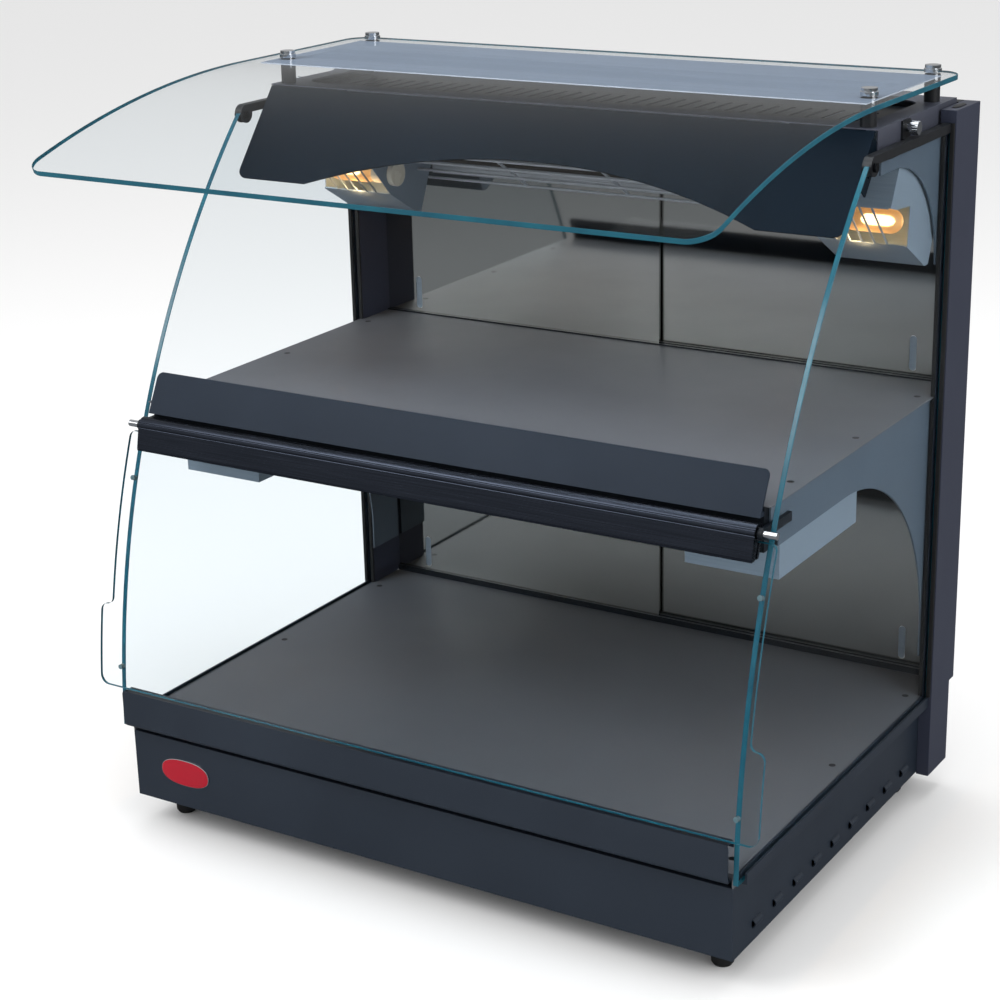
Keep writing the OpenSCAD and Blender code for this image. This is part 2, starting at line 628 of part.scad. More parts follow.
// ---------- controls ----------
module switch_bodies() in_case() color("#101214") for (x = switch_xs) difference() {
  union() {
    box(x - switch_w / 2 + 0.1, x + switch_w / 2 - 0.1, base_d - 22, base_d + 1,
      control_z - switch_h / 2 + 0.1, control_z + switch_h / 2 - 0.1);
    box(x - switch_w / 2 - 1.5, x + switch_w / 2 + 1.5, base_d + 0.05, base_d + 2,
      control_z - switch_h / 2 - 1.5, control_z + switch_h / 2 + 1.5);
  }
  box(x - switch_w / 2 + 1.6, x + switch_w / 2 - 1.6, base_d - 14, base_d + 5,
    control_z - switch_h / 2 + 1.6, control_z + switch_h / 2 - 1.6);
  // sockets for the rocker's pivot pins
  translate([x, base_d - 2, control_z - pivot_h / 2 - 0.3]) cylinder(d = 2.5, h = pivot_h + 0.6);
}
rocker_tilt = 10;
pivot_h = 11;
module rocker(x) in_case() translate([x, base_d - 2, control_z]) rotate([0, 0, rocker_tilt]) {
  linear_extrude(switch_h - 4, center = true) polygon([[-6.6, 0], [-7, 4.8], [0, 3.4], [7, 4.8], [6.6, 0], [0, -4.5]]);
  cylinder(d = 2.4, h = pivot_h, center = true);
}
module rocker_power() color("#b3261e") rocker(switch_xs[0]);
module rocker_lights() color("#22262b") rocker(switch_xs[1]);
module thermostats() in_case() color("#b9bec5") for (x = knob_xs) difference() {
  union() {
    box(x - 18, x + 18, base_d - 46, base_d - 14, control_z - 18, control_z + 18);
    y_rod(base_d - 15, base_d - sheet - 0.05, x, control_z, 16);
    y_rod(base_d - 2, base_d + 3, x, control_z, 9.8);
  }
  y_rod(base_d - 34, base_d + 10, x, control_z, 6.1);
}
module knob(x) in_case() {
  y_rod(base_d - 32, base_d + 12, x, control_z, 6);
  difference() {
    union() {
      y_rod(base_d + 4, base_d + 9, x, control_z, knob_d);
      y_rod(base_d + 8, knob_back_y, x, control_z, knob_d - 8);
    }
    y_rod(base_d, base_d + 7, x, control_z, 14);
    for (a = [0:30:330]) y_rod(base_d + 9.01, knob_back_y + 1, x + (knob_d / 2 - 3) * cos(a),
      control_z + (knob_d / 2 - 3) * sin(a), 4);
  }
}
module knob_shelf() color("#1a1d21") knob(knob_xs[0]);
module knob_deck() color("#1a1d21") knob(knob_xs[1]);
module terminal_block() in_case() color("#efe9dc") difference() {
  box(gland_x + 40, gland_x + 110, base_d - 90, base_d - 66, base_z + 3, base_z + 23);
  for (i = [0:4]) translate([gland_x + 47 + i * 14, base_d - 78, base_z + 14]) cylinder(d = 6, h = 10, $fn = 24);
}
module cord_gland() in_case() color("#14171a") difference() {
  union() {
    y_rod(base_d - 12, base_d + 1, gland_x, gland_z, 19.6);
    y_rod(base_d + 0.05, base_d + 4, gland_x, gland_z, 27);
    y_rod(base_d + 3, base_d + 18, gland_x, gland_z, 22);
    translate([gland_x, base_d - 10, gland_z]) rotate([-90, 0, 0]) cylinder(d = 26, h = 5, $fn = 6);
  }
  y_rod(base_d - 20, base_d + 30, gland_x, gland_z, cord_bore);
}
module badge() in_case() color("#b3182a") translate([-327, 0, 80]) y_bar(-2.4, -0.05) rounded_rect(-36, 36, -17, 17, 16.5);
module deck_screws() in_case() color("#70757c") {
  for (x = screw_xs, y = deck_screw_ys) translate([x, y, deck_z]) deck_screw();
  for (x = screw_xs, y = shelf_screw_ys) translate([x, y, shelf_z]) deck_screw();
}

base_shell();
base_bottom();
rear_panel();
feet();
foot_bolts();
deck_lip();
lower_deck();
deck_heater();
glass_channels();
side_glass_left();
side_glass_right();
column_left();
column_right();
gussets_upper();
gussets_lower();
shelf_deck();
shelf_tray();
shelf_heater();
shelf_lip();
hinge_brackets();
hinge_rod();
door_clamp();
front_door_glass();
door_bumpers();
canopy_shell();
canopy_tray();
canopy_fascia();
canopy_reflector();
heating_element();
element_guard();
lamp_housings_upper();
lamp_housings_lower();
lamp_sockets();
lamp_bulbs();
top_glass();
top_panel();
standoff_posts();
standoff_caps();
glass_clips();
clip_bolts();
thumb_screw_left();
thumb_screw_right();
door_upper_left();
door_upper_right();
door_lower_left();
door_lower_right();
rear_header();
rear_midrail();
rear_sill();
switch_bodies();
rocker_power();
rocker_lights();
thermostats();
knob_shelf();
knob_deck();
terminal_block();
cord_gland();
badge();
deck_screws();
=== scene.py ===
# %% [markdown]
# # A countertop hot food display case
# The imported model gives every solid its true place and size.  This file gives those solids their
# finishes and rebuilds what plain solids show badly: the bent and curved glasses with their green
# edges, the lamps, the badge and the small fittings.

import math

import bmesh
import bpy
from mathutils import Matrix, Vector


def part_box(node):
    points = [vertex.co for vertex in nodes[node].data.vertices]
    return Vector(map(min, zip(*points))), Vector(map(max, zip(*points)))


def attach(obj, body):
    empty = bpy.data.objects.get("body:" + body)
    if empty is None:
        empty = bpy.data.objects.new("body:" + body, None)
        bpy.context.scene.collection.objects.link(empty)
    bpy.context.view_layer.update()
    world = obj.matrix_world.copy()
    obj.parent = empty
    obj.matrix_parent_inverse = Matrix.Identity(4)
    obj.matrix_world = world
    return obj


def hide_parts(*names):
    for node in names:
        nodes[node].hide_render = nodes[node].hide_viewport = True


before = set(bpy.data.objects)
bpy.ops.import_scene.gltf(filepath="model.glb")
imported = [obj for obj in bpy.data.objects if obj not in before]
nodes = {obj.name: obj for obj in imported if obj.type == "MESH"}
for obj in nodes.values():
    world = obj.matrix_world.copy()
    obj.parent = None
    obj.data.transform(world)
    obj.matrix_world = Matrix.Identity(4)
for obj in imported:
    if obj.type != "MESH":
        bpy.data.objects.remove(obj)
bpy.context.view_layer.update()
scene = bpy.context.scene

# %% [markdown]
# The camera comes first, because everything else is judged through it.  It is a long lens a good
# two metres away, a little above the top glass and to the right of the case, so that the front,
# the right end and the top all show.  Its turn is written as three directions.

# %% Camera
camera_data = bpy.data.cameras.new("display_camera")
camera_data.lens = 79.88
camera_data.sensor_width = 36
camera_data.clip_start = 0.05
camera = bpy.data.objects.new("display_camera", camera_data)
scene.collection.objects.link(camera)
look_right = Vector((0.8511, 0.5245, -0.0232))
look_down = Vector((0.1529, -0.2899, -0.9449))
look_ahead = Vector((-0.5023, 0.8006, -0.3269))
turn = Matrix((look_right, -look_down, -look_ahead)).transposed().to_4x4()
camera.matrix_world = Matrix.Translation((1.29177, -2.10396, 1.25919)) @ turn
scene.camera = camera
print("camera", [round(v, 3) for v in camera.location], "lens", camera_data.lens)

# %% [markdown]
# The case was drawn from the front of its base backwards, in millimetres.  at() turns such a
# place into metres in the frame.  The base shell's box says where that front is.

# %% Places in millimetres
base_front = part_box("base_shell")[0][1]


def at(x, y, z):
    return Vector((x / 1000, base_front + y / 1000, z / 1000))


print("base front at y =", round(base_front, 4))

# %% [markdown]
# Colours are written as sRGB hex values, the way a paint or screen swatch gives them, and one
# function turns them to the linear values that shaders work with.  A second small function adds
# any shader node with its settings, values and links.

# %% Colour and node helpers
def shade(code):
    parts = [int(code[i : i + 2], 16) / 255 for i in (1, 3, 5)]
    return tuple(c / 12.92 if c <= 0.04045 else ((c + 0.055) / 1.055) ** 2.4 for c in parts) + (1,)


def put(mat, kind, sockets=None, **settings):
    made = mat.node_tree.nodes.new("ShaderNode" + kind)
    for key, value in settings.items():
        setattr(made, key, value)
    for key, value in (sockets or {}).items():
        if isinstance(value, bpy.types.NodeSocket):
            mat.node_tree.links.new(value, made.inputs[key])
        else:
            made.inputs[key].default_value = value
    return made


def start(name, roughness, metallic=0.0):
    mat = bpy.data.materials.new(name)
    mat.use_nodes = True
    shader = mat.node_tree.nodes["Principled BSDF"]
    shader.inputs["Roughness"].default_value = roughness
    shader.inputs["Metallic"].default_value = metallic
    return mat, shader


def link(mat, source, shader, socket):
    mat.node_tree.links.new(source, shader.inputs[socket])


def per_mm(size):
    return 1000 / size


# %% [markdown]
# Powder coat is a baked plastic skin on sheet steel.  It gives the eye a soft sheen that is never
# quite even: a faint orange peel, broad patches where hands and cloths have polished it, and a
# slight change of tone.  The real peel is 1 to 2 mm across; it is drawn at 3.5 mm so that it shows.
# One function makes the family, since only tone and gloss change from part to part.  Its specular
# level is below the usual 0.5, and lowest on the fascia and the shelf lip.  That is a choice for
# the picture: in a white surround the full level turns these dark colours pale.  The top panel is
# painted lighter than it should look, because the glass over it takes a good part of its light.

# %% Powder coat
peel_mm = 3.5


def powder_coat(name, code, light_code, gloss, peel=0.16, shine=0.28):
    mat, shader = start(name, gloss)
    shader.inputs["Specular IOR Level"].default_value = shine
    place = put(mat, "TexCoord").outputs["Object"]
    cloud = put(mat, "TexNoise", {"Vector": place, "Scale": per_mm(160), "Detail": 3.0})
    tone = put(mat, "Mix", {0: cloud.outputs["Fac"], 6: shade(code), 7: shade(light_code)},
               data_type="RGBA")
    link(mat, tone.outputs[2], shader, "Base Color")
    wipe = put(mat, "TexNoise", {"Vector": place, "Scale": per_mm(70), "Detail": 3.0})
    sheen = put(mat, "MapRange", {"Value": wipe.outputs["Fac"], "To Min": gloss - 0.04,
                                  "To Max": gloss + 0.06})
    link(mat, sheen.outputs[0], shader, "Roughness")
    skin = put(mat, "TexNoise", {"Vector": place, "Scale": per_mm(peel_mm), "Detail": 1.0})
    bump = put(mat, "Bump", {"Height": skin.outputs["Fac"], "Strength": peel, "Distance": 0.0002})
    link(mat, bump.outputs[0], shader, "Normal")
    return mat


coat_dark = powder_coat("powder_coat_anthracite", "#1f2630", "#29313c", 0.36)
coat_lip = powder_coat("powder_coat_navy_grey", "#1b232e", "#252e3a", 0.38, peel=0.08, shine=0.1)
coat_black = powder_coat("powder_coat_black", "#11161c", "#171d25", 0.40)
coat_plate = powder_coat("powder_coat_blue_grey", "#4a5662", "#545f6b", 0.42)
coat_column = powder_coat("powder_coat_slate", "#2e3240", "#363a49", 0.38)
coat_fascia = powder_coat("enamel_fascia", "#0b141c", "#101b26", 0.38, peel=0.01, shine=0.05)
coat_canopy = powder_coat("powder_coat_iron_grey", "#3f424d", "#494c58", 0.42)
coat_panel = powder_coat("lacquered_panel_grey", "#b0b9c8", "#bcc5d2", 0.45)
coat_deck = powder_coat("non_stick_deck_grey", "#55585e", "#5c5f65", 0.50, peel=0.08)
print("finishes so far:", len(bpy.data.materials))

# %% [markdown]
# Sheet steel and aluminium come from the rolling mill with fine lines along the sheet.  The lines
# stretch each highlight across them.  They are 0.2 mm apart on the real sheet and drawn at 1.2 mm:
# a noise squeezed across the grain and stretched along it drives the tone, gloss and bump.
# The lamp housings, the guard rods and the reflector are made half metallic.  The real ones are
# bare metal, but what metal mirrors is dimmed here, see the lighting, and a full metal among so
# many dark parts would come out nearly black.

# %% Brushed metal
streak_mm = 90


def brushed(name, code, dark_code, gloss, line_mm=1.2, metal=1.0):
    mat, shader = start(name, gloss, metal)
    place = put(mat, "TexCoord").outputs["Object"]
    across = per_mm(line_mm)
    laid = put(mat, "Mapping", {"Vector": place, "Scale": (per_mm(streak_mm), across, across)})
    lines = put(mat, "TexNoise", {"Vector": laid.outputs[0], "Scale": 1.0, "Detail": 3.0})
    tone = put(mat, "Mix", {0: lines.outputs["Fac"], 6: shade(dark_code), 7: shade(code)},
               data_type="RGBA")
    link(mat, tone.outputs[2], shader, "Base Color")
    sheen = put(mat, "MapRange", {"Value": lines.outputs["Fac"], "From Min": 0.3, "From Max": 0.7,
                                  "To Min": gloss - 0.06, "To Max": gloss + 0.08})
    link(mat, sheen.outputs[0], shader, "Roughness")
    bump = put(mat, "Bump", {"Height": lines.outputs["Fac"], "Strength": 0.12,
                             "Distance": 0.0001})
    link(mat, bump.outputs[0], shader, "Normal")
    return mat


steel_housing = brushed("rolled_aluminised_steel", "#a2b1c0", "#8897a6", 0.42, metal=0.5)
steel_rods = brushed("drawn_stainless_rod", "#e0e4ea", "#c2c8d0", 0.3, metal=0.5)
steel_reflector = brushed("bright_aluminium_reflector", "#d3d7dc", "#bcc1c8", 0.3, metal=0.5)
steel_element = brushed("heat_darkened_sheath", "#6d665f", "#4b4744", 0.42)
chrome = brushed("polished_chrome_plate", "#e3e6ea", "#d2d6db", 0.10, line_mm=4)
steel_screw = brushed("zinc_plated_screw", "#85898f", "#63686e", 0.34, line_mm=2)
# The deck screws and clip bolts are drawn near black, far darker than the plated screws.
steel_dark = brushed("dark_screw_steel", "#2c2e32", "#17191c", 0.5, line_mm=2)
print("finishes so far:", len(bpy.data.materials))

# %% [markdown]
# Moulded ABS and nylon keep the fine spark-eroded grain of their mould, about 0.3 mm, drawn here
# at 1.5 mm.  Rubber is the same idea with a duller surface, and glazed ceramic is smooth.  The
# clear bumpers on the front glass are only 6 mm wide, so a plain grey teal stands for what would
# be seen through them.

# %% Moulded plastic and rubber
grain_mm = 1.5


def moulded(name, code, gloss, grain=0.1):
    mat, shader = start(name, gloss)
    place = put(mat, "TexCoord").outputs["Object"]
    cells = put(mat, "TexNoise", {"Vector": place, "Scale": per_mm(grain_mm), "Detail": 2.0})
    dirt = put(mat, "TexNoise", {"Vector": place, "Scale": per_mm(22), "Detail": 3.0})
    dark = tuple(c * 0.8 for c in shade(code)[:3]) + (1,)
    tone = put(mat, "Mix", {0: dirt.outputs["Fac"], 6: shade(code), 7: dark}, data_type="RGBA")
    link(mat, tone.outputs[2], shader, "Base Color")
    sheen = put(mat, "MapRange", {"Value": dirt.outputs["Fac"], "To Min": gloss - 0.05,
                                  "To Max": gloss + 0.08})
    link(mat, sheen.outputs[0], shader, "Roughness")
    bump = put(mat, "Bump", {"Height": cells.outputs["Fac"], "Strength": grain,
                             "Distance": 0.0001})
    link(mat, bump.outputs[0], shader, "Normal")
    return mat


nylon_black = moulded("black_nylon", "#15181d", 0.42)
# The door clamp is black anodised, but its colours are raised to a mid grey. Part of that grey is a
# painted highlight that stands in for the glints along its ribs.
clamp_black_with_painted_highlight = brushed("black_anodised_aluminium_painted_highlight", "#4b515e", "#2c313a", 0.26)
abs_knob = moulded("black_abs", "#1a1c20", 0.35)
abs_red = moulded("red_abs", "#b3261e", 0.28, grain=0.04)
resin_red = moulded("red_doming_resin", "#a8182a", 0.12, grain=0.0)
rubber_foot = moulded("moulded_rubber", "#17181a", 0.72, grain=0.3)
rubber_clear = moulded("clear_polyurethane", "#5d7278", 0.20, grain=0.0)
glaze = moulded("glazed_steatite", "#e4ddcc", 0.25, grain=0.05)
heater_mat = moulded("orange_silicone_mat", "#b5611f", 0.6, grain=0.3)
print("finishes so far:", len(bpy.data.materials))

# %% [markdown]
# Soda-lime glass is nearly clear through its face and teal through its edge, where light has come
# a long way through the pane.  Each pane gets two materials: a clear one on its two faces, and a
# darker polished teal on its ground rim.  The clear one steps aside for shadow rays, so the lamps
# and the studio light reach the shelves.  Window glass has an IOR near 1.5, which in a white room
# lays a milky veil over the dark case; 1.06 keeps a faint sheen and lets the inside show.

# %% Glass
wave_mm = 260


def pane_glass(name, code):
    mat, shader = start(name, 0.0)
    shader.inputs["Base Color"].default_value = shade(code)
    shader.inputs["Transmission Weight"].default_value = 1.0
    shader.inputs["IOR"].default_value = 1.06
    place = put(mat, "TexCoord").outputs["Object"]
    roll = put(mat, "TexNoise", {"Vector": place, "Scale": per_mm(wave_mm), "Detail": 1.0})
    bump = put(mat, "Bump", {"Height": roll.outputs["Fac"], "Strength": 0.02, "Distance": 0.001})
    link(mat, bump.outputs[0], shader, "Normal")
    ray = put(mat, "LightPath")
    clear = put(mat, "BsdfTransparent", {"Color": shade(code)})
    both = put(mat, "MixShader", {0: ray.outputs["Is Shadow Ray"], 1: shader.outputs[0],
                                  2: clear.outputs[0]})
    out = mat.node_tree.nodes["Material Output"]
    mat.node_tree.links.new(both.outputs[0], out.inputs["Surface"])
    return mat


def rim_glass(name, code, deep_code):
    mat, shader = start(name, 0.14)
    place = put(mat, "TexCoord").outputs["Object"]
    depth = put(mat, "TexNoise", {"Vector": place, "Scale": per_mm(35), "Detail": 2.0})
    tone = put(mat, "Mix", {0: depth.outputs["Fac"], 6: shade(deep_code), 7: shade(code)},
               data_type="RGBA")
    link(mat, tone.outputs[2], shader, "Base Color")
    shader.inputs["IOR"].default_value = 1.5
    return mat


clear_pane = pane_glass("tempered_clear_glass", "#f2f6f8")
teal_rim = rim_glass("polished_glass_edge", "#1f6474", "#143f52")
print("glass:", clear_pane.name, teal_rim.name)

# %% [markdown]
# The sliding doors are mirrors: glass with silver behind it.  From the customer's side they show
# the inside of the case again, a little darker and greyer than it is.

# %% Mirror
mirror, mirror_shader = start("silvered_mirror", 0.03, 1.0)
mirror_place = put(mirror, "TexCoord").outputs["Object"]
mirror_haze = put(mirror, "TexNoise", {"Vector": mirror_place, "Scale": per_mm(120), "Detail": 3.0})
mirror_tone = put(mirror, "Mix", {0: mirror_haze.outputs["Fac"], 6: shade("#d0d0cc"),
                                  7: shade("#dadad6")}, data_type="RGBA")
link(mirror, mirror_tone.outputs[2], mirror_shader, "Base Color")
mirror_smear = put(mirror, "MapRange", {"Value": mirror_haze.outputs["Fac"], "To Min": 0.02,
                                        "To Max": 0.07})
link(mirror, mirror_smear.outputs[0], mirror_shader, "Roughness")
print("mirror:", mirror.name)

# %% [markdown]
# A display lamp is an amber-coated glass envelope with a white-hot filament coil inside.  The
# coating is what the eye sees: white where the coil lies behind it, gold beside it and bronze at
# the edges.  So the envelope is frosted amber glass with a faint glow, and a small bright core
# stands for the coil and its support.

# %% Lit bulb glass
bulb_glass, bulb_shader = start("amber_frosted_glass", 0.3)
glow_place = put(bulb_glass, "TexCoord").outputs["Object"]
glow_noise = put(bulb_glass, "TexNoise", {"Vector": glow_place, "Scale": per_mm(18)})
glow_tone = put(bulb_glass, "Mix", {0: glow_noise.outputs["Fac"], 6: shade("#e0a468"),
                                    7: shade("#f6d6a0")}, data_type="RGBA")
link(bulb_glass, glow_tone.outputs[2], bulb_shader, "Base Color")
link(bulb_glass, glow_tone.outputs[2], bulb_shader, "Emission Color")
bulb_shader.inputs["Transmission Weight"].default_value = 0.8
bulb_shader.inputs["IOR"].default_value = 1.3
bulb_shader.inputs["Emission Strength"].default_value = 0.15
coil_glow, coil_shader = start("white_hot_coil", 0.5)
coil_shader.inputs["Base Color"].default_value = shade("#ffe9c4")
coil_shader.inputs["Emission Color"].default_value = shade("#ffe2b0")
coil_shader.inputs["Emission Strength"].default_value = 7
print("bulb:", bulb_glass.name, coil_glow.name)

# %% [markdown]
# Every solid that keeps its own shape now takes its finish.

# %% Finishes for the solids
finishes = {
    coat_dark: "base_shell base_bottom rear_panel deck_lip glass_channels",
    coat_lip: "shelf_lip",
    coat_black: "shelf_tray rear_header rear_midrail rear_sill hinge_brackets canopy_tray",
    coat_plate: "gussets_upper gussets_lower",
    coat_column: "column_left column_right",
    coat_fascia: "canopy_fascia",
    coat_canopy: "canopy_shell",
    coat_panel: "top_panel",
    coat_deck: "lower_deck shelf_deck",
    steel_housing: "lamp_housings_upper lamp_housings_lower thermostats",
    steel_rods: "element_guard foot_bolts",
    steel_reflector: "canopy_reflector",
    steel_element: "heating_element",
    chrome: "hinge_rod standoff_caps thumb_screw_left thumb_screw_right",
    steel_dark: "deck_screws clip_bolts",
    clamp_black_with_painted_highlight: "door_clamp",
    nylon_black: "standoff_posts glass_clips cord_gland switch_bodies",
    abs_knob: "knob_shelf knob_deck rocker_lights",
    abs_red: "rocker_power",
    rubber_foot: "feet",
    rubber_clear: "door_bumpers",
    glaze: "lamp_sockets terminal_block",
    heater_mat: "deck_heater shelf_heater",
    mirror: "door_upper_left door_upper_right door_lower_left door_lower_right",
}
for finish, names in finishes.items():
    for name in names.split():
        nodes[name].data.materials.clear()
        nodes[name].data.materials.append(finish)
print("finished solids:", sum(len(v.split()) for v in finishes.values()))

# %% [markdown]
# New pieces are made from lists of points.  One function builds the mesh, turns its faces
# outwards, smooths it except at sharp edges, and lets it ride on its body.

# %% Making a piece
sharp_degrees = 35


def piece(name, points, faces, body, materials, slots=None):
    mesh = bpy.data.meshes.new(name)
    mesh.from_pydata(points, [], faces)
    for mat in materials:
        mesh.materials.append(mat)
    if slots:
        mesh.polygons.foreach_set("material_index", slots)
    work = bmesh.new()
    work.from_mesh(mesh)
    bmesh.ops.recalc_face_normals(work, faces=work.faces)
    work.to_mesh(mesh)
    work.free()
    mesh.shade_smooth()
    mesh.set_sharp_from_angle(angle=math.radians(sharp_degrees))
    obj = bpy.data.objects.new(name, mesh)
    scene.collection.objects.link(obj)
    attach(obj, body)
    print("piece", name, "faces", len(mesh.polygons))
    return obj


# %% [markdown]
# Folded and cut sheet has no razor edges: a bend leaves a small radius that catches a thin line
# of light.  The solids whose edges show are therefore rebuilt: their triangles are joined into
# whole faces, and a narrow bevel rounds every edge without bending the shading of flat faces.

# %% Sheet with softened edges
def softened(name, width_mm):
    source = nodes[name]
    work = bmesh.new()
    work.from_mesh(source.data)
    bmesh.ops.remove_doubles(work, verts=work.verts, dist=0.00001)
    bmesh.ops.dissolve_limit(work, angle_limit=math.radians(0.5), verts=work.verts,
                             edges=work.edges)
    points = [v.co.copy() for v in work.verts]
    work.verts.ensure_lookup_table()
    faces = [tuple(v.index for v in f.verts) for f in work.faces]
    work.free()
    made = piece(name + "_soft", points, faces, "case", [source.data.materials[0]])
    edge = made.modifiers.new("bend_radius", "BEVEL")
    edge.width = width_mm / 1000
    edge.segments = 2
    edge.limit_method = "ANGLE"
    edge.angle_limit = math.radians(30)
    edge.harden_normals = True
    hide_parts(name)
    return made


bend_radii_mm = (
    ("column_left", 1.4, "dark_paint"),
    ("column_right", 1.4, "dark_paint"),
    ("canopy_fascia", 0.5, "fascia_paint"),
    ("canopy_shell", 0.5, "canopy_paint"),
    ("lamp_housings_upper", 0.3, "bright_steel"),
    ("lamp_housings_lower", 0.3, "bright_steel"),
    ("gussets_upper", 0.4, "dark_paint"),
    ("gussets_lower", 0.4, "dark_paint"),
    ("shelf_lip", 0.5, "dark_paint"),
    ("deck_lip", 0.5, "dark_paint"),
    ("base_shell", 1.0, "dark_paint"),
    ("glass_channels", 0.4, "dark_paint"),
)
for name, radius, slot in bend_radii_mm:
    softened(name, radius)

# %% Points along an arc
def arc_points(x, y, radius, first, last, steps=8):
    angles = [math.radians(first + (last - first) * i / steps) for i in range(steps + 1)]
    return [(x + radius * math.cos(a), y + radius * math.sin(a)) for a in angles]


# %% [markdown]
# The bent glasses are straight along the case's width and curved the other way, so a stack of
# rows describes them: each row is a half width with a point on the outer and one on the inner
# face.  The rows crowd together at the rounded corners.  The rim faces take the teal material.

# %% Bent sheet of glass
def bent_sheet(name, rows, body, rim_mm=0.8):
    points, faces, slots = [], [], []
    for half, outer, inner in rows:
        for side in (-half, half):
            points += [at(side, *outer), at(side, *inner)]
    for i in range(len(rows) - 1):
        a, b = 4 * i, 4 * i + 4
        faces += [(a, a + 2, b + 2, b), (a + 1, b + 1, b + 3, a + 3)]
        faces += [(a, b, b + 1, a + 1), (a + 2, a + 3, b + 3, b + 2)]
        slots += [0, 0, 1, 1]
    last = 4 * (len(rows) - 1)
    faces += [(0, 1, 3, 2), (last, last + 2, last + 3, last + 1)]
    slots += [1, 1]
    made = piece(name, points, faces, body, [clear_pane, teal_rim], slots)
    polish = made.modifiers.new("polished_rim", "BEVEL")
    polish.width = rim_mm / 1000
    polish.segments = 2
    polish.limit_method = "ANGLE"
    polish.angle_limit = math.radians(50)
    polish.material = 1
    return made


# %% Top glass
top_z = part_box("top_glass")[1][2] * 1000
top_half, nose_y, glass_back_y, bend_y, bend_r, top_thick, corner = 415, -92, 548, 298, 1192, 6, 28


def top_row(half, y):
    if y >= bend_y:
        return half, (y, top_z), (y, top_z - top_thick)
    lean = math.asin((bend_y - y) / bend_r)
    low = top_z - bend_r
    inner_r = bend_r - top_thick
    return (half, (y, low + bend_r * math.cos(lean)),
            (bend_y - inner_r * math.sin(lean), low + inner_r * math.cos(lean)))


edge_x = top_half - corner
top_plan = arc_points(edge_x, nose_y + corner, corner, -90, 0)
top_plan += [(top_half, nose_y + corner + (glass_back_y - nose_y - 2 * corner) * i / 60)
             for i in range(1, 60)]
top_plan += arc_points(edge_x, glass_back_y - corner, corner, 0, 90)
top_glass = bent_sheet("bent_top_glass", [top_row(x, y) for x, y in top_plan], "case")
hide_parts("top_glass")

# %% Flip-up front glass
arc_y, arc_z, front_r = 1059, 94, 1067
door_half, tab_half, door_low, door_high, tab_high = 421, 438, 181.5, 485, 282
door_inner_r, door_outer_r = front_r + 6, front_r + 10


def on_front(z, radius):
    return arc_y - math.sqrt(radius**2 - (z - arc_z) ** 2)


door_plan = arc_points(tab_half - 12, door_low + 12, 12, -90, 0)
door_plan += [(tab_half, door_low + 12 + 79.5 * i / 8) for i in range(1, 8)]
door_plan += arc_points(tab_half - 9, tab_high - 9, 9, 0, 80)
door_plan += arc_points(door_half + 8, tab_high + 8, 8, 260, 180)
door_plan += [(door_half, tab_high + 8 + (door_high - 7 - tab_high - 8) * i / 24)
              for i in range(1, 24)]
door_plan += arc_points(door_half - 7, door_high - 7, 7, 0, 90)
door_rows = [(x, (on_front(z, door_outer_r), z), (on_front(z, door_inner_r), z))
             for x, z in door_plan]
front_glass = bent_sheet("flip_up_front_glass", door_rows, "front_door", rim_mm=0.6)
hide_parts("front_door_glass")

# %% [markdown]
# The two side glasses are flat sheets with a curved front edge.  Their outline is drawn once,
# pushed out to the pane's thickness, and their rim is ground and polished like the others.

# %% Side glasses
side_low, side_high, side_back = 129, 832, 522
side_front = [(on_front(side_low + (side_high - side_low) * i / 90, front_r),
               side_low + (side_high - side_low) * i / 90) for i in range(91)]
side_outline = side_front + [(side_back, side_high), (side_back, side_low)]
for label, inner_x, outer_x in (("right", 407, 413), ("left", -407, -413)):
    count = len(side_outline)
    side_points = [at(x, y, z) for x in (inner_x, outer_x) for y, z in side_outline]
    side_faces = [tuple(range(count)), tuple(range(2 * count - 1, count - 1, -1))]
    side_faces += [(i, (i + 1) % count, count + (i + 1) % count, count + i) for i in range(count)]
    side_slots = [0, 0] + [1] * count
    side = piece("side_glass_" + label + "_pane", side_points, side_faces, "case",
                 [clear_pane, teal_rim], side_slots)
    side_edge = side.modifiers.new("polished_rim", "BEVEL")
    side_edge.width = 0.0008
    side_edge.segments = 2
    side_edge.limit_method = "ANGLE"
    side_edge.angle_limit = math.radians(50)
    side_edge.material = 1
    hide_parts("side_glass_" + label)

# %% [markdown]
# Round fittings are turned: a profile of radius and height is spun about an axis.  The function
# closes a profile that ends on the axis and can place many copies in one mesh.

# %% Turned pieces
def turned(name, profile, places, direction, body, materials, slots=None, steps=32):
    axis = Vector(direction).normalized()
    side = axis.orthogonal().normalized()
    other = axis.cross(side)
    points, faces, picks = [], [], []
    for place in places:
        first = len(points)
        for radius, height in profile:
            for k in range(steps):
                a = 2 * math.pi * k / steps
                spoke = side * math.cos(a) + other * math.sin(a)
                points.append(place + (axis * height + spoke * radius) / 1000)
        for i in range(len(profile) - 1):
            for k in range(steps):
                n = (k + 1) % steps
                low, high = first + i * steps, first + (i + 1) * steps
                faces.append((low + k, low + n, high + n, high + k))
                picks.append(slots[i] if slots else 0)
        for ring, flip in ((0, True), (len(profile) - 1, False)):
            ring_points = [first + ring * steps + k for k in range(steps)]
            faces.append(tuple(reversed(ring_points)) if flip else tuple(ring_points))
            picks.append(slots[min(ring, len(profile) - 2)] if slots else 0)
    return piece(name, points, faces, body, materials, picks)


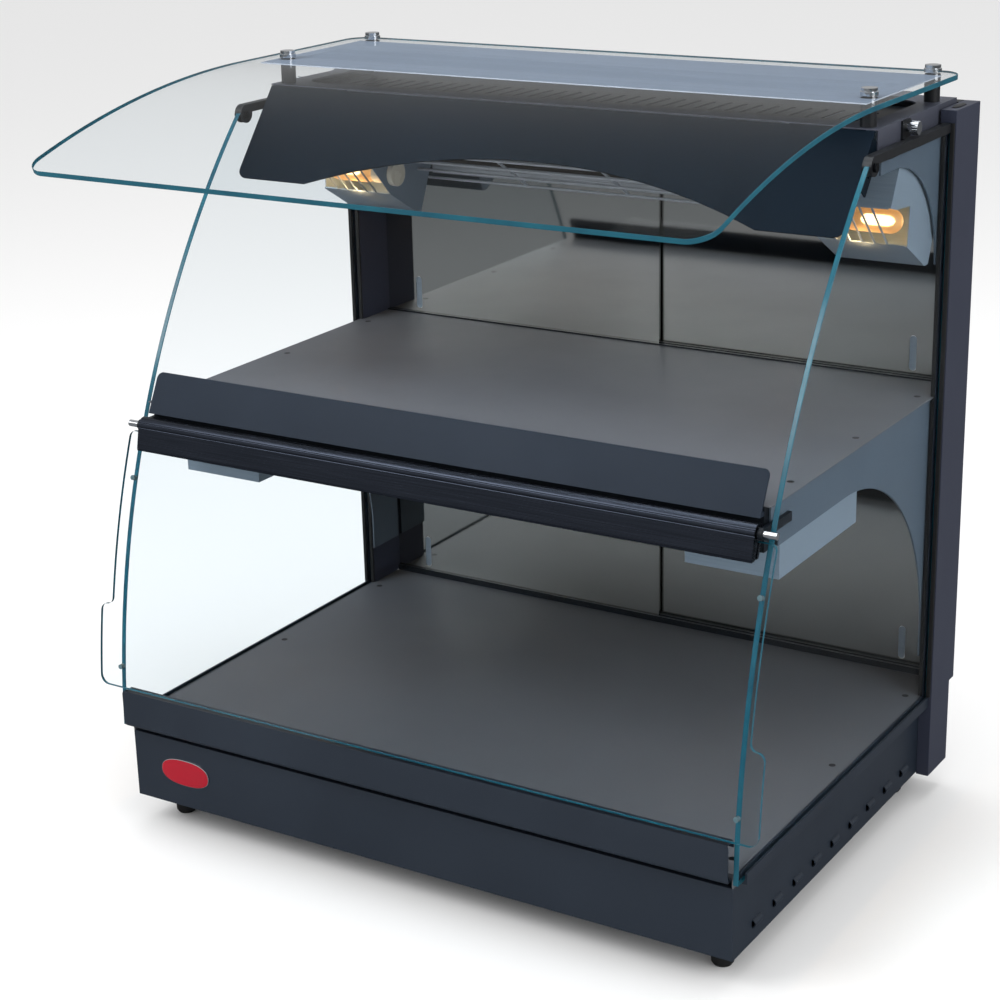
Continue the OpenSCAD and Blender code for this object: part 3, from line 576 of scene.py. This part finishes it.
# %% Lamp bulbs
cap_profile = [(6, 6.6), (10.2, 6.8)]
for turn_number in range(5):
    thread_z = 8 + turn_number * 3.2
    cap_profile += [(10.4, thread_z), (9.6, thread_z + 1.6)]
belly = [(10.4, 25), (10.5, 27), (11.4, 30), (13.2, 34), (14, 38), (14, 80)]
belly += [(14 * math.cos(math.radians(a)), 82 + 14 * math.sin(math.radians(a)))
          for a in range(0, 90, 10)] + [(0.4, 96)]
bulb_profile = cap_profile + belly
bulb_slots = [1] * (len(cap_profile)) + [0] * (len(belly))
lamp_places = [(292, 440, 736), (284, 232, 444)]
bulbs_right = turned("bulbs_right", bulb_profile, [at(*p) for p in lamp_places], (1, 0, 0),
                     "case", [bulb_glass, steel_screw], bulb_slots)
bulbs_left = turned("bulbs_left", bulb_profile, [at(-p[0], p[1], p[2]) for p in lamp_places],
                    (-1, 0, 0), "case", [bulb_glass, steel_screw], bulb_slots)
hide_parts("lamp_bulbs")

# %% Coils inside the bulbs
coil_profile = [(0.4, 48), (3.0, 50), (4.6, 54), (4.6, 80), (3.0, 84), (0.4, 86)]
for label, side in (("right", 1), ("left", -1)):
    coils = turned("coils_" + label, coil_profile,
                   [at(side * x, y, z) for x, y, z in lamp_places], (side, 0, 0), "case",
                   [coil_glow], steps=16)

# %% [markdown]
# Small fittings that the eye looks for: black strips on the column fronts either side of each side
# glass where it enters its column, the pressed steel finger pulls in the sliding doors, the oval
# plugs in the column tops and the domed badge, which is left plain.

# %% Blocks with rounded edges
def block(name, low, high, body, material, round_mm=0.5):
    x0, y0, z0 = low
    x1, y1, z1 = high
    points = [at(x, y, z) for x in (x0, x1) for y in (y0, y1) for z in (z0, z1)]
    faces = [(0, 1, 3, 2), (4, 6, 7, 5), (0, 4, 5, 1), (2, 3, 7, 6), (0, 2, 6, 4), (1, 5, 7, 3)]
    made = piece(name, points, faces, body, [material])
    edge = made.modifiers.new("rounded", "BEVEL")
    edge.width = round_mm / 1000
    edge.segments = 3
    return made


# %% Black strips on the column fronts
# These strips make the column fronts black either side of each side glass.
for label, side in (("right", 1), ("left", -1)):
    for part, x0, x1 in (("inner", 401.6, 406.6), ("outer", 413.4, 418.6)):
        column_front_strip = block("gasket_" + part + "_" + label, (min(side * x0, side * x1), 511.5, 138.5),
                       (max(side * x0, side * x1), 514.0, 836), "case", rubber_foot, 0.8)

# %% Rounded outlines pushed out along Y
def slab(name, outline, y_places, insets, body, materials, slots=None):
    """A stack of copies of an (x, z) outline along Y, each drawn in by its inset."""
    middle = [sum(p[i] for p in outline) / len(outline) for i in (0, 1)]
    count = len(outline)
    points, faces, picks = [], [], []
    for y, inset in zip(y_places, insets):
        for x, z in outline:
            dx, dz = x - middle[0], z - middle[1]
            reach = math.hypot(dx, dz)
            points.append(at(x - dx / reach * inset, y, z - dz / reach * inset))
    for i in range(len(y_places) - 1):
        for k in range(count):
            n = (k + 1) % count
            faces.append((i * count + k, i * count + n, (i + 1) * count + n, (i + 1) * count + k))
            picks.append(slots[i] if slots else 0)
    faces += [tuple(range(count)), tuple(range(len(points) - count, len(points)))]
    picks += [slots[0], slots[-1]] if slots else [0, 0]
    return piece(name, points, faces, body, materials, picks)


def stadium(x, z, half_w, half_h):
    radius = min(half_w, half_h)
    reach_x, reach_z = half_w - radius, half_h - radius
    corners = ((reach_x, -reach_z, -90), (reach_x, reach_z, 0), (-reach_x, reach_z, 90),
               (-reach_x, -reach_z, 180))
    outline = []
    for cx, cz, a in corners:
        outline += arc_points(x + cx, z + cz, radius, a, a + 90, 12)
    return outline


# %% Badge
badge_x, badge_z, badge_half_w, badge_half_h = -327, 80, 36, 17
fullness = 2.4  # 2 would be a plain ellipse, more fills its corners
badge_steps = 48
badge_outline = []
for k in range(badge_steps):
    a = 2 * math.pi * k / badge_steps
    across, up = math.cos(a), math.sin(a)
    reach = (abs(across) ** fullness + abs(up) ** fullness) ** (-1 / fullness)
    badge_outline.append((badge_x + badge_half_w * reach * across,
                          badge_z + badge_half_h * reach * up))
badge = slab("badge_dome", badge_outline, [0, -1.2, -1.6, -1.7, -2.2, -2.5], [0, 0, 0.8, 2.4, 4, 8],
             "case", [chrome, resin_red], [0, 0, 1, 1, 1, 1])
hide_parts("badge")

# %% Finger pulls in the sliding doors
pull_half_w, pull_half_h, pull_x, pull_up = 4.2, 21.6, 351, 32
door_names = ["door_upper_left", "door_upper_right", "door_lower_left", "door_lower_right"]
for door in door_names:
    low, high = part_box(door)
    side = 1 if door.endswith("right") else -1
    y_low = (low[1] - base_front) * 1000
    pull_z = low[2] * 1000 + pull_up
    pull = slab("pull_" + door, stadium(side * pull_x, pull_z, pull_half_w, pull_half_h),
                [y_low + 0.6, y_low + 0.2, y_low + 0.2, y_low + 2.6, y_low + 3.2],
                [0, 0.2, 1.0, 1.4, 3.0], door, [steel_housing])

# %% Oval plugs in the column tops
for label, side in (("right", 1), ("left", -1)):
    oval = arc_points(0, 0, 1, 0, 345, 23)
    rings = ((4.6, 17, 850.5), (4.6, 17, 851.1), (3.6, 15.6, 851.6), (1.5, 12, 851.8))
    plug_points = [at(side * 410.5 + x * w, 545 + y * length, z)
                   for w, length, z in rings for x, y in oval]
    n_oval = len(oval)
    plug_faces = [(r * n_oval + k, r * n_oval + (k + 1) % n_oval,
                   (r + 1) * n_oval + (k + 1) % n_oval, (r + 1) * n_oval + k)
                  for r in range(len(rings) - 1) for k in range(n_oval)]
    plug_faces += [tuple(range(n_oval)), tuple(range(3 * n_oval, 4 * n_oval))]
    plug = piece("column_plug_" + label, plug_points, plug_faces, "case", [nylon_black])

# %% [markdown]
# The floor is a wide pale sheet.  Three large soft lamps and a bright surround light the case the
# way a white tent does: the sheet metal shows long, gentle highlights and no hard shadow.  What
# the glass and the paint mirror is kept dimmer than the tent itself, as black cards would do in a
# studio, because a dark case mirrors a white room so strongly that it would look pale.

# %% Telling mirrored rays apart
def mirrored_only(owner):
    """1 for a ray that was mirrored on its way, 0 for one seen directly or through glass."""
    bounces = put(owner, "LightPath").outputs["Glossy Depth"]
    return put(owner, "Math", {0: bounces, 1: 1.0}, operation="MINIMUM").outputs[0]


# %% Floor
floor_mat, floor_shader = start("pale_paper_floor", 0.9)
floor_tone = put(floor_mat, "Mix", {0: mirrored_only(floor_mat), 6: shade("#f4f4f4"),
                                    7: shade("#77797c")}, data_type="RGBA")
link(floor_mat, floor_tone.outputs[2], floor_shader, "Base Color")
bpy.ops.mesh.primitive_plane_add(size=30, location=(0, 0, -0.0005))
floor = bpy.context.object
floor.name = "pale_floor"
floor.data.materials.append(floor_mat)

# %% White tent
world = bpy.data.worlds.new("white_tent")
world.use_nodes = True
tent = put(world, "MapRange", {"Value": mirrored_only(world), "To Min": 0.9, "To Max": 0.42})
world.node_tree.links.new(tent.outputs[0], world.node_tree.nodes["Background"].inputs["Strength"])
world.node_tree.nodes["Background"].inputs["Color"].default_value = (1, 1, 1, 1)
scene.world = world
scene.view_settings.view_transform = "Standard"


# %% Soft lamps
def soft_lamp(name, place, target, size, power):
    data = bpy.data.lights.new(name, "AREA")
    data.size, data.energy = size, power
    lamp = bpy.data.objects.new(name, data)
    lamp.location = place
    lamp.rotation_euler = (Vector(target) - Vector(place)).to_track_quat("-Z", "Y").to_euler()
    scene.collection.objects.link(lamp)
    return lamp


soft_lamp("key_softbox", (-1.6, -2.2, 2.6), (0, 0, 0.4), 1.8, 45)
soft_lamp("side_softbox", (2.6, -0.4, 1.6), (0, 0, 0.4), 1.6, 20)
top_lamp = soft_lamp("top_softbox", (0, 0.4, 3.0), (0, 0, 0.5), 2.2, 32)
top_lamp.visible_glossy = False

# %% [markdown]
# The lit bulbs warm the inside of their own shades.  A very small warm lamp in front of each bulb
# does that cleanly, where light from the tiny coil alone would leave the shade grainy.

# %% Warm light in the shades
warm_watts, warm_tint, warm_radius = 0.5, (1, 0.62, 0.28), 0.008
along_bulb, before_bulb, under_bulb = 50, 8, 22
for x, y, z in lamp_places:
    for side in (-1, 1):
        warm = bpy.data.lights.new("warm_lamp", "POINT")
        warm.energy, warm.color, warm.shadow_soft_size = warm_watts, warm_tint, warm_radius
        glow = bpy.data.objects.new("warm_lamp", warm)
        glow.location = at(side * (x + along_bulb), y - before_bulb, z - under_bulb)
        glow.visible_glossy = glow.visible_transmission = glow.visible_camera = False
        scene.collection.objects.link(glow)
